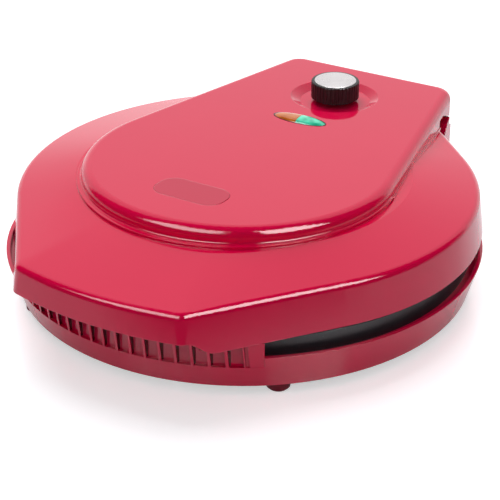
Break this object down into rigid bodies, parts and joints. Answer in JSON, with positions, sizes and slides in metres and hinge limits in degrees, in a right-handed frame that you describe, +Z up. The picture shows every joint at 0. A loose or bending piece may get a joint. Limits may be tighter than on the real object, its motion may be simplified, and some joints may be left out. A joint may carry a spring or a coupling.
{
  "type": "electric pizza maker",
  "caption": "Round countertop pizza oven with a heated base plate, a heated lid hinged at the back, a beak-shaped front handle, a thermostat knob and an indicator window.",
  "frame": {"origin": "on the table, at the centre of the bounding box seen from above; the plates' axis stands 5.2 mm in front of it", "axes": "+X to the right seen from the front handle, +Y from the handle towards the hinge, +Z up; the row is stored with the lid closed and the knob at its off stop"},
  "size_m": [0.3468, 0.3976, 0.1057],
  "materials": {
    "red_gloss": "high gloss crimson",
    "bottom_sheet": "satin black paint",
    "foot_rubber": "matt",
    "steel": "zinc plated",
    "plate_coating": "cast, black non-stick coating",
    "heater_sheath": "heat-darkened sheath",
    "reflector_sheet": "bright rolled sheet",
    "bush_brass": "turned",
    "black_plastic": "matt",
    "white_plastic": "matt",
    "fuse_can": "satin",
    "knob_plastic": "satin black",
    "spun_metal": "spun in fine circles",
    "dark_trim": "dark gloss",
    "amber_window": "tinted clear, unlit",
    "green_window": "tinted clear, unlit",
    "lamp_glass": "clear",
    "badge_red": "gloss, left blank"
  },
  "bodies": {
    "base": {"base_housing": "red_gloss", "base_bottom_cover": "bottom_sheet", "base_feet": "foot_rubber", "base_screws": "steel", "lower_plate": "plate_coating", "lower_element": "heater_sheath", "lower_reflector": "reflector_sheet", "lower_plate_posts": "steel", "hinge_pins": "steel", "cord_gland": "black_plastic", "terminal_block": "white_plastic", "thermal_fuse": "fuse_can"},
    "lid": {"lid_shell": "red_gloss", "lid_top_cover": "red_gloss", "lid_liner": "reflector_sheet", "upper_plate": "plate_coating", "upper_element": "heater_sheath", "upper_reflector": "reflector_sheet", "upper_plate_posts": "steel", "hinge_bushes": "bush_brass", "thermostat_body": "steel", "thermostat_nut": "steel", "lens_bezel": "dark_trim", "amber_lens": "amber_window", "green_lens": "green_window", "lamp_holder": "white_plastic", "amber_lamp": "lamp_glass", "green_lamp": "lamp_glass", "badge_plate": "badge_red"},
    "knob": {"control_knob": "knob_plastic", "knob_cap": "spun_metal", "thermostat_spindle": "steel"}
  },
  "joints": [
    {"name": "lid_hinge", "type": "hinge", "parent": "base", "child": "lid", "pos_m": [0, 0.18477, 0.05], "axis": [-1, 0, 0], "range_deg": [0, 97]},
    {"name": "knob_turn", "type": "hinge", "parent": "lid", "child": "knob", "pos_m": [0, 0.13278, 0.092], "axis": [0, 0, -1], "range_deg": [0, 270]}
  ]
}
